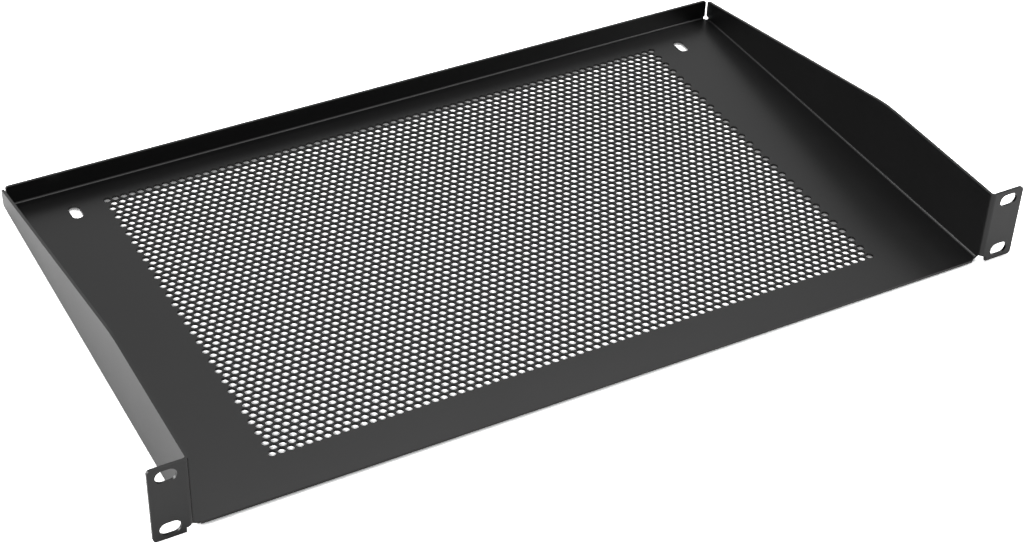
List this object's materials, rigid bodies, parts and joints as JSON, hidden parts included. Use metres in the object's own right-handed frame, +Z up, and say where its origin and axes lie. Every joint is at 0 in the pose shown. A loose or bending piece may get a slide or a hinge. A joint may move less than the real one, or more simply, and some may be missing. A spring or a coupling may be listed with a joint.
{
  "type": "cantilever rack shelf",
  "caption": "One-unit cantilever shelf for a 19-inch rack, folded from black sheet steel, with a perforated floor, tapered side walls, slotted ears and a low rear lip.",
  "frame": {"origin": "centre of the four mounting slots, on the front face of the ears", "axes": "+X to the right seen from the front of the rack, +Y to the rear, +Z up"},
  "size_m": [0.4826, 0.2709, 0.0436],
  "materials": {
    "powder_coat": "satin powder coat"
  },
  "bodies": {
    "root": {"shelf": "powder_coat"}
  },
  "joints": []
}
